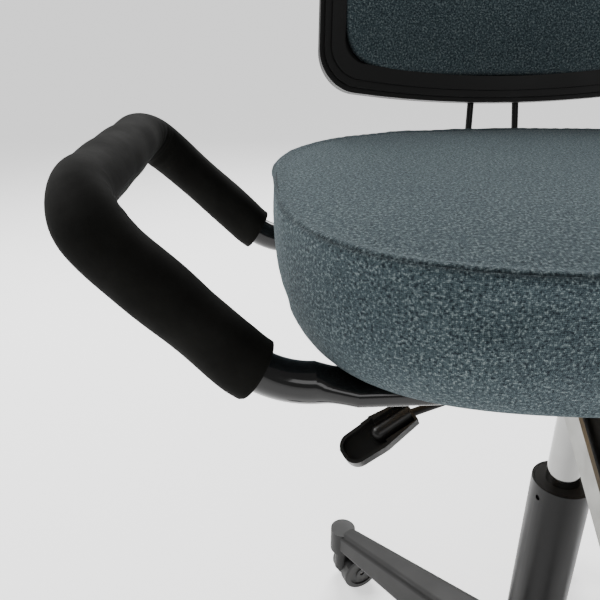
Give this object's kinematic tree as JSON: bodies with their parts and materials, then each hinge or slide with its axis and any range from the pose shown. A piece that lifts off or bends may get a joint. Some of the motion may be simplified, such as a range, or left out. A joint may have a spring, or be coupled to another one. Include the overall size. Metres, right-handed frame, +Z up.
{
  "type": "dentist stool",
  "caption": "Wheeled dentist stool: upholstered tilting seat, foam-covered hoop arms, gas lift with paddle lever and a backrest on thin rods.",
  "frame": {"origin": "on the column axis, at the floor under the casters", "axes": "+Z up along the column; the sitter faces -Y; +X is the sitter's left"},
  "size_m": [0.744, 0.626, 0.8417],
  "materials": {
    "seat_fabric": "coarse heathered teal weave",
    "back_fabric": "coarse heathered teal weave",
    "arm_foam": "matte closed-cell foam sleeve",
    "black_tube": "gloss black powder coat",
    "black_steel": "satin black powder coat",
    "black_plastic": "satin moulded nylon",
    "lever_plastic": "semi-gloss moulded plastic",
    "chrome": "bright chrome plate",
    "zinc": "dull zinc plate",
    "steel": "bare steel",
    "spring_steel": "oiled spring steel",
    "wheel_rubber": "soft black tread",
    "plywood": "beech plywood"
  },
  "bodies": {
    "base": {"star_base": "black_plastic", "caster_stems": "steel", "outer_tube": "black_steel", "guide_bush": "black_plastic", "tube_end_washer": "steel", "bearing_race_lower": "steel", "bearing_balls": "steel"},
    "column_swivel": {"piston_rod": "steel", "bearing_race_upper": "steel", "retaining_clip": "steel", "bump_stop": "wheel_rubber"},
    "lift": {"pressure_tube": "chrome", "rod_seal": "black_plastic", "mechanism_housing": "black_steel", "tilt_pin": "steel", "lever_clevis": "steel", "lever_pin": "steel", "tension_bracket": "zinc", "bracket_rivets": "zinc", "spring_cup": "black_plastic", "tension_spring": "spring_steel", "tension_bolt": "zinc"},
    "valve": {"valve_button": "steel"},
    "height_lever": {"lever_cam": "black_plastic", "lever_rod": "black_steel", "lever_handle": "lever_plastic"},
    "tension_knob": {"tension_knob": "black_plastic"},
    "seat": {"seat_plate": "black_steel", "seat_board": "plywood", "seat_cushion": "seat_fabric", "seat_screws": "zinc", "arm_screws": "zinc", "arm_tube_right": "black_tube", "arm_tube_left": "black_tube", "arm_foam_right": "arm_foam", "arm_foam_left": "arm_foam", "back_bracket": "black_steel", "back_hinge_bolt": "zinc"},
    "backrest": {"rod_clamp": "black_steel", "back_rod_right": "black_steel", "back_rod_left": "black_steel", "back_shell": "black_plastic", "back_pad": "back_fabric"},
    "back_knob": {"back_knob": "black_plastic"},
    "caster_1": {"caster_hood_1": "black_plastic"},
    "wheels_1": {"caster_axle_1": "steel", "caster_wheels_1": "wheel_rubber"},
    "caster_2": {"caster_hood_2": "black_plastic"},
    "wheels_2": {"caster_axle_2": "steel", "caster_wheels_2": "wheel_rubber"},
    "caster_3": {"caster_hood_3": "black_plastic"},
    "wheels_3": {"caster_axle_3": "steel", "caster_wheels_3": "wheel_rubber"},
    "caster_4": {"caster_hood_4": "black_plastic"},
    "wheels_4": {"caster_axle_4": "steel", "caster_wheels_4": "wheel_rubber"},
    "caster_5": {"caster_hood_5": "black_plastic"},
    "wheels_5": {"caster_axle_5": "steel", "caster_wheels_5": "wheel_rubber"}
  },
  "joints": [
    {"name": "column_swivel", "type": "hinge", "parent": "base", "child": "column_swivel", "pos_m": [0, 0, 0.2], "axis": [0, 0, 1], "continuous": true},
    {"name": "height_slide", "type": "slide", "parent": "column_swivel", "child": "lift", "axis": [0, 0, 1], "range_m": [-0.072, 0.058]},
    {"name": "valve_press", "type": "slide", "parent": "lift", "child": "valve", "axis": [0, 0, -1], "range_m": [0, 0.0019]},
    {"name": "lever_lift", "type": "hinge", "parent": "lift", "child": "height_lever", "pos_m": [-0.01649, -0.00411, 0.471], "axis": [-0.2419, 0.9703, 0], "range_deg": [0, 6], "stiffness_Nm_per_rad": 2, "springref_deg": -5.73},
    {"name": "tension_turn", "type": "hinge", "parent": "lift", "child": "tension_knob", "pos_m": [0, -0.13349, 0.38201], "axis": [0, -0.809, -0.5878], "range_deg": [-720, 720]},
    {"name": "seat_tilt", "type": "hinge", "parent": "lift", "child": "seat", "pos_m": [0, 0.045, 0.492], "axis": [1, 0, 0], "range_deg": [-4, 4]},
    {"name": "back_recline", "type": "hinge", "parent": "seat", "child": "backrest", "pos_m": [0, 0.214, 0.501], "axis": [-1, 0, 0], "range_deg": [0, 12]},
    {"name": "back_knob_turn", "type": "hinge", "parent": "seat", "child": "back_knob", "pos_m": [0.055, 0.214, 0.501], "axis": [1, 0, 0], "range_deg": [-720, 720]},
    {"name": "caster_swivel_1", "type": "hinge", "parent": "base", "child": "caster_1", "pos_m": [0, -0.265, 0.055], "axis": [0, 0, 1], "continuous": true},
    {"name": "wheels_roll_1", "type": "hinge", "parent": "caster_1", "child": "wheels_1", "pos_m": [-0.01973, -0.27218, 0.025], "axis": [-0.342, 0.9397, 0], "continuous": true},
    {"name": "caster_swivel_2", "type": "hinge", "parent": "base", "child": "caster_2", "pos_m": [0.25203, -0.08189, 0.055], "axis": [0, 0, 1], "continuous": true},
    {"name": "wheels_roll_2", "type": "hinge", "parent": "caster_2", "child": "wheels_2", "pos_m": [0.25746, -0.06161, 0.025], "axis": [0.9659, -0.2588, 0], "continuous": true},
    {"name": "caster_swivel_3", "type": "hinge", "parent": "base", "child": "caster_3", "pos_m": [0.15576, 0.21439, 0.055], "axis": [0, 0, 1], "continuous": true},
    {"name": "wheels_roll_3", "type": "hinge", "parent": "caster_3", "child": "wheels_3", "pos_m": [0.13758, 0.22489, 0.025], "axis": [0.5, 0.866, 0], "continuous": true},
    {"name": "caster_swivel_4", "type": "hinge", "parent": "base", "child": "caster_4", "pos_m": [-0.15576, 0.21439, 0.055], "axis": [0, 0, 1], "continuous": true},
    {"name": "wheels_roll_4", "type": "hinge", "parent": "caster_4", "child": "wheels_4", "pos_m": [-0.13603, 0.22157, 0.025], "axis": [0.342, -0.9397, 0], "continuous": true},
    {"name": "caster_swivel_5", "type": "hinge", "parent": "base", "child": "caster_5", "pos_m": [-0.25203, -0.08189, 0.055], "axis": [0, 0, 1], "continuous": true},
    {"name": "wheels_roll_5", "type": "hinge", "parent": "caster_5", "child": "wheels_5", "pos_m": [-0.25386, -0.10281, 0.025], "axis": [-0.9962, 0.0872, 0], "continuous": true}
  ],
  "couplings": [
    {"joint": "valve_press", "follows": "lever_lift", "m_per_rad": 0.017}
  ]
}
